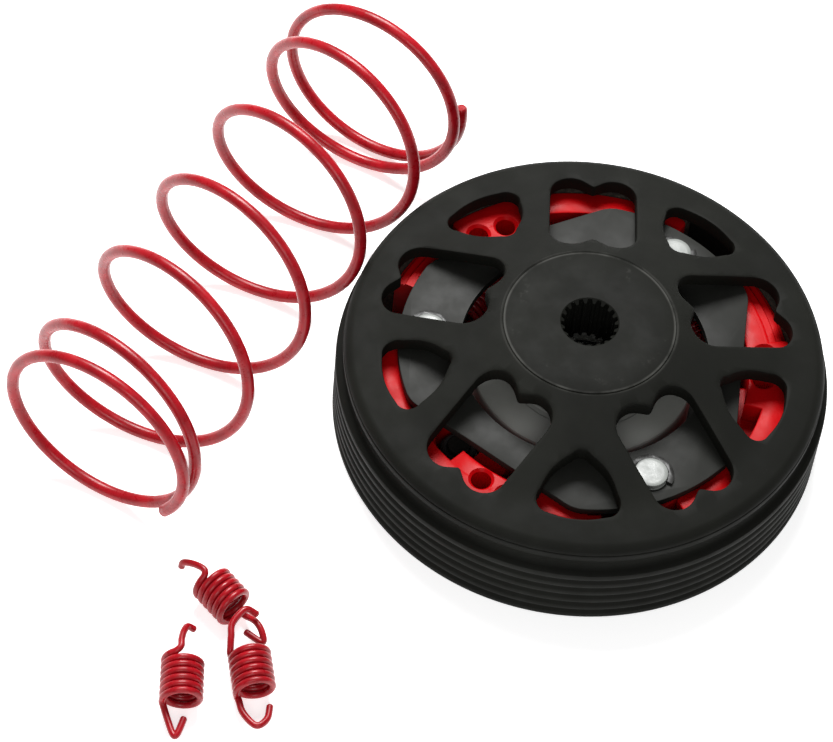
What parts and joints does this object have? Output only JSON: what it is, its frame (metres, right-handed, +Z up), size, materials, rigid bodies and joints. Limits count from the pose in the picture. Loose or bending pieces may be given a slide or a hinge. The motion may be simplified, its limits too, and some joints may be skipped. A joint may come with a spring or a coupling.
{
  "type": "centrifugal clutch and bell set",
  "caption": "Windowed clutch bell over a centrifugal clutch with pivoting shoes, beside a large torque spring and small hooked shoe springs.",
  "frame": {"origin": "on the floor under the middle of the whole laid-out set; the bell axis stands at x 0.02835, y 0.04051", "axes": "+Z up along the bell axis, out of its closed face; the torque spring lies along Y on the -X side; small springs lie at -Y"},
  "size_m": [0.1906, 0.215, 0.058],
  "materials": {
    "matte_black_paint": "matte black heat paint",
    "black_hub_steel": "matte black, slightly smoother than the bell",
    "dark_grey_steel": "dark grey phosphated steel",
    "bright_steel": "bright zinc-plated steel",
    "clip_steel": "dark spring steel",
    "gloss_red_paint": "gloss red paint",
    "red_spring_coat": "deep red powder coat",
    "friction_lining": "matte dark brown-grey friction compound",
    "black_rubber": "matte black rubber"
  },
  "bodies": {
    "clutch_base": {"drive_plate": "dark_grey_steel", "side_plate": "dark_grey_steel", "pivot_pin_1": "bright_steel", "pivot_pin_2": "bright_steel", "pivot_pin_3": "bright_steel", "e_clip_1": "clip_steel", "e_clip_2": "clip_steel", "e_clip_3": "clip_steel", "damper_1": "black_rubber", "damper_2": "black_rubber", "damper_3": "black_rubber", "shoe_spring_1": "red_spring_coat", "shoe_spring_2": "red_spring_coat", "shoe_spring_3": "red_spring_coat"},
    "bell": {"clutch_bell": "matte_black_paint", "bell_hub": "black_hub_steel"},
    "shoe_arm_1": {"shoe_1": "gloss_red_paint", "lining_1": "friction_lining"},
    "shoe_arm_2": {"shoe_2": "gloss_red_paint", "lining_2": "friction_lining"},
    "shoe_arm_3": {"shoe_3": "gloss_red_paint", "lining_3": "friction_lining"},
    "torque_spring_loose": {"torque_spring": "red_spring_coat"},
    "small_spring_b": {"loose_spring_b": "red_spring_coat"},
    "small_spring_a": {"loose_spring_a": "red_spring_coat"},
    "small_spring_c": {"loose_spring_c": "red_spring_coat"}
  },
  "joints": [
    {"name": "bell_spin", "type": "hinge", "parent": "clutch_base", "child": "bell", "pos_m": [0.02835, 0.04051, 0.03], "axis": [0, 0, 1], "continuous": true},
    {"name": "shoe_pivot_1", "type": "hinge", "parent": "clutch_base", "child": "shoe_arm_1", "pos_m": [0.03331, 0.08271, 0.014], "axis": [0, 0, -1], "range_deg": [0, 0.65], "stiffness_Nm_per_rad": 30, "springref_deg": -5.73, "deforming": ["shoe_spring_1", "shoe_spring_3"]},
    {"name": "shoe_pivot_2", "type": "hinge", "parent": "clutch_base", "child": "shoe_arm_2", "pos_m": [-0.01068, 0.0237, 0.014], "axis": [0, 0, -1], "range_deg": [0, 0.65], "stiffness_Nm_per_rad": 30, "springref_deg": -5.73, "deforming": ["shoe_spring_2", "shoe_spring_1"]},
    {"name": "shoe_pivot_3", "type": "hinge", "parent": "clutch_base", "child": "shoe_arm_3", "pos_m": [0.06243, 0.01511, 0.014], "axis": [0, 0, -1], "range_deg": [0, 0.65], "stiffness_Nm_per_rad": 30, "springref_deg": -5.73, "deforming": ["shoe_spring_3", "shoe_spring_2"]},
    {"name": "torque_spring_lift", "type": "slide", "parent": "clutch_base", "child": "torque_spring_loose", "axis": [0, 0, 1], "range_m": [0, 0.1]},
    {"name": "loose_pair_lift", "type": "slide", "parent": "clutch_base", "child": "small_spring_b", "axis": [0, 0, 1], "range_m": [0, 0.1]},
    {"name": "link_swing", "type": "hinge", "parent": "small_spring_b", "child": "small_spring_a", "pos_m": [-0.00975, -0.06678, 0.0065], "axis": [0, 0, 1], "range_deg": [-3, 3]},
    {"name": "loose_spring_c_lift", "type": "slide", "parent": "clutch_base", "child": "small_spring_c", "axis": [0, 0, 1], "range_m": [0, 0.1]}
  ]
}
